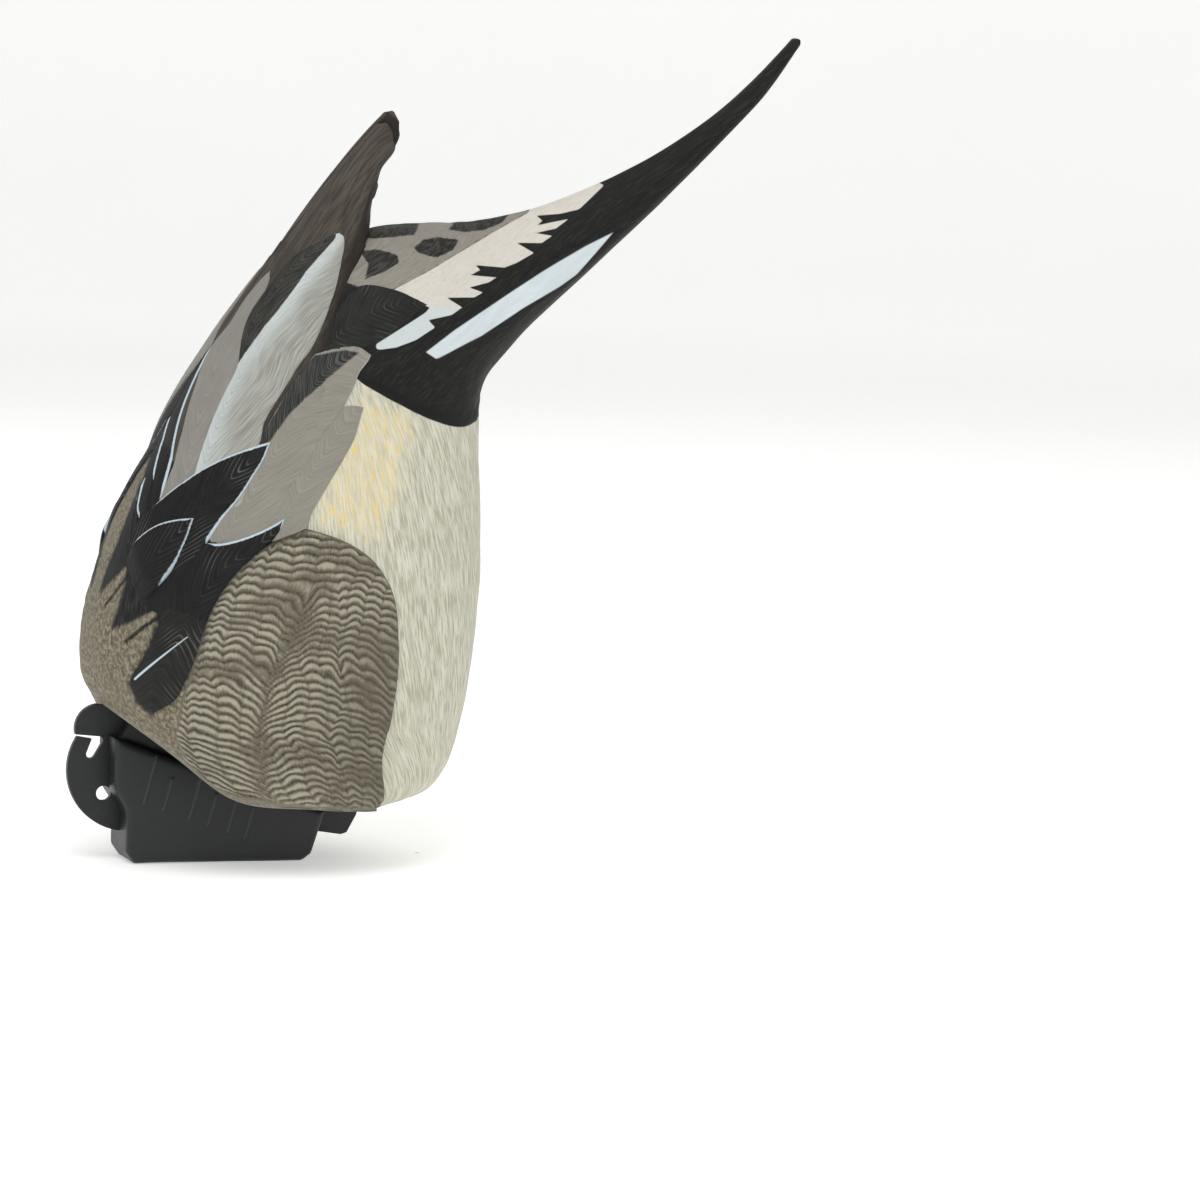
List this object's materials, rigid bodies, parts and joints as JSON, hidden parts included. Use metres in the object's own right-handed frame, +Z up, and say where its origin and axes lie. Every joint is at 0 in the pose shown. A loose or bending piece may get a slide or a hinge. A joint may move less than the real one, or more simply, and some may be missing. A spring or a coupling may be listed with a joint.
{
  "type": "floating duck decoy",
  "caption": "Upended feeding drake pintail decoy: hollow painted body with raised tail and crossed wing tips, on a ballast keel with a hooked anchor-line web.",
  "frame": {"origin": "centre of the keel's flat foot", "axes": "+Z up when the decoy stands on its keel, -X towards the back, +X towards the belly and tail, -Y the duck's left side; y = 0 is the plane of symmetry"},
  "size_m": [0.312, 0.147, 0.346],
  "materials": {
    "painted_body": "matte painted, feather relief",
    "plug_plastic": "matte moulded",
    "keel_plastic": "satin moulded",
    "ballast": "packed sand",
    "steel": "plain stainless",
    "seal_rubber": "matte"
  },
  "bodies": {
    "root": {"body_shell": "painted_body", "body_plug": "plug_plastic", "keel_shell": "keel_plastic", "keel_ballast": "ballast", "keel_fill_plug": "plug_plastic", "keel_gasket": "seal_rubber", "keel_screw_1": "steel", "keel_screw_2": "steel", "keel_screw_3": "steel", "keel_screw_4": "steel", "seal_washer_1": "seal_rubber", "seal_washer_2": "seal_rubber", "seal_washer_3": "seal_rubber", "seal_washer_4": "seal_rubber"}
  },
  "joints": []
}
